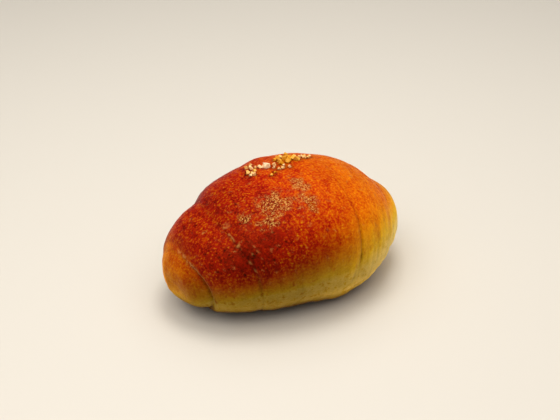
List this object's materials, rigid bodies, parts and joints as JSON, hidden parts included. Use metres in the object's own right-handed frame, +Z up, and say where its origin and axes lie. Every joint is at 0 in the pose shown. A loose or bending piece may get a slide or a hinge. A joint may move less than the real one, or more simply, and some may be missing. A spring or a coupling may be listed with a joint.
{
  "type": "salt bread roll",
  "caption": "Plump rolled bread with slanting wrap edges, a flat foot and coarse salt along its crown.",
  "frame": {"origin": "on the surface that the roll rests on, under the middle of its outer box", "axes": "+X along the roll from its slimmer tip to its fuller end, -Y towards its front, +Z up through the salted crown"},
  "size_m": [0.118, 0.0806, 0.0551],
  "materials": {
    "crust": "baked bread crust, deep red-brown on the crown, golden on the sides and pale cream at the foot, thinly buttered"
  },
  "bodies": {
    "root": {"roll": "crust"}
  },
  "joints": []
}
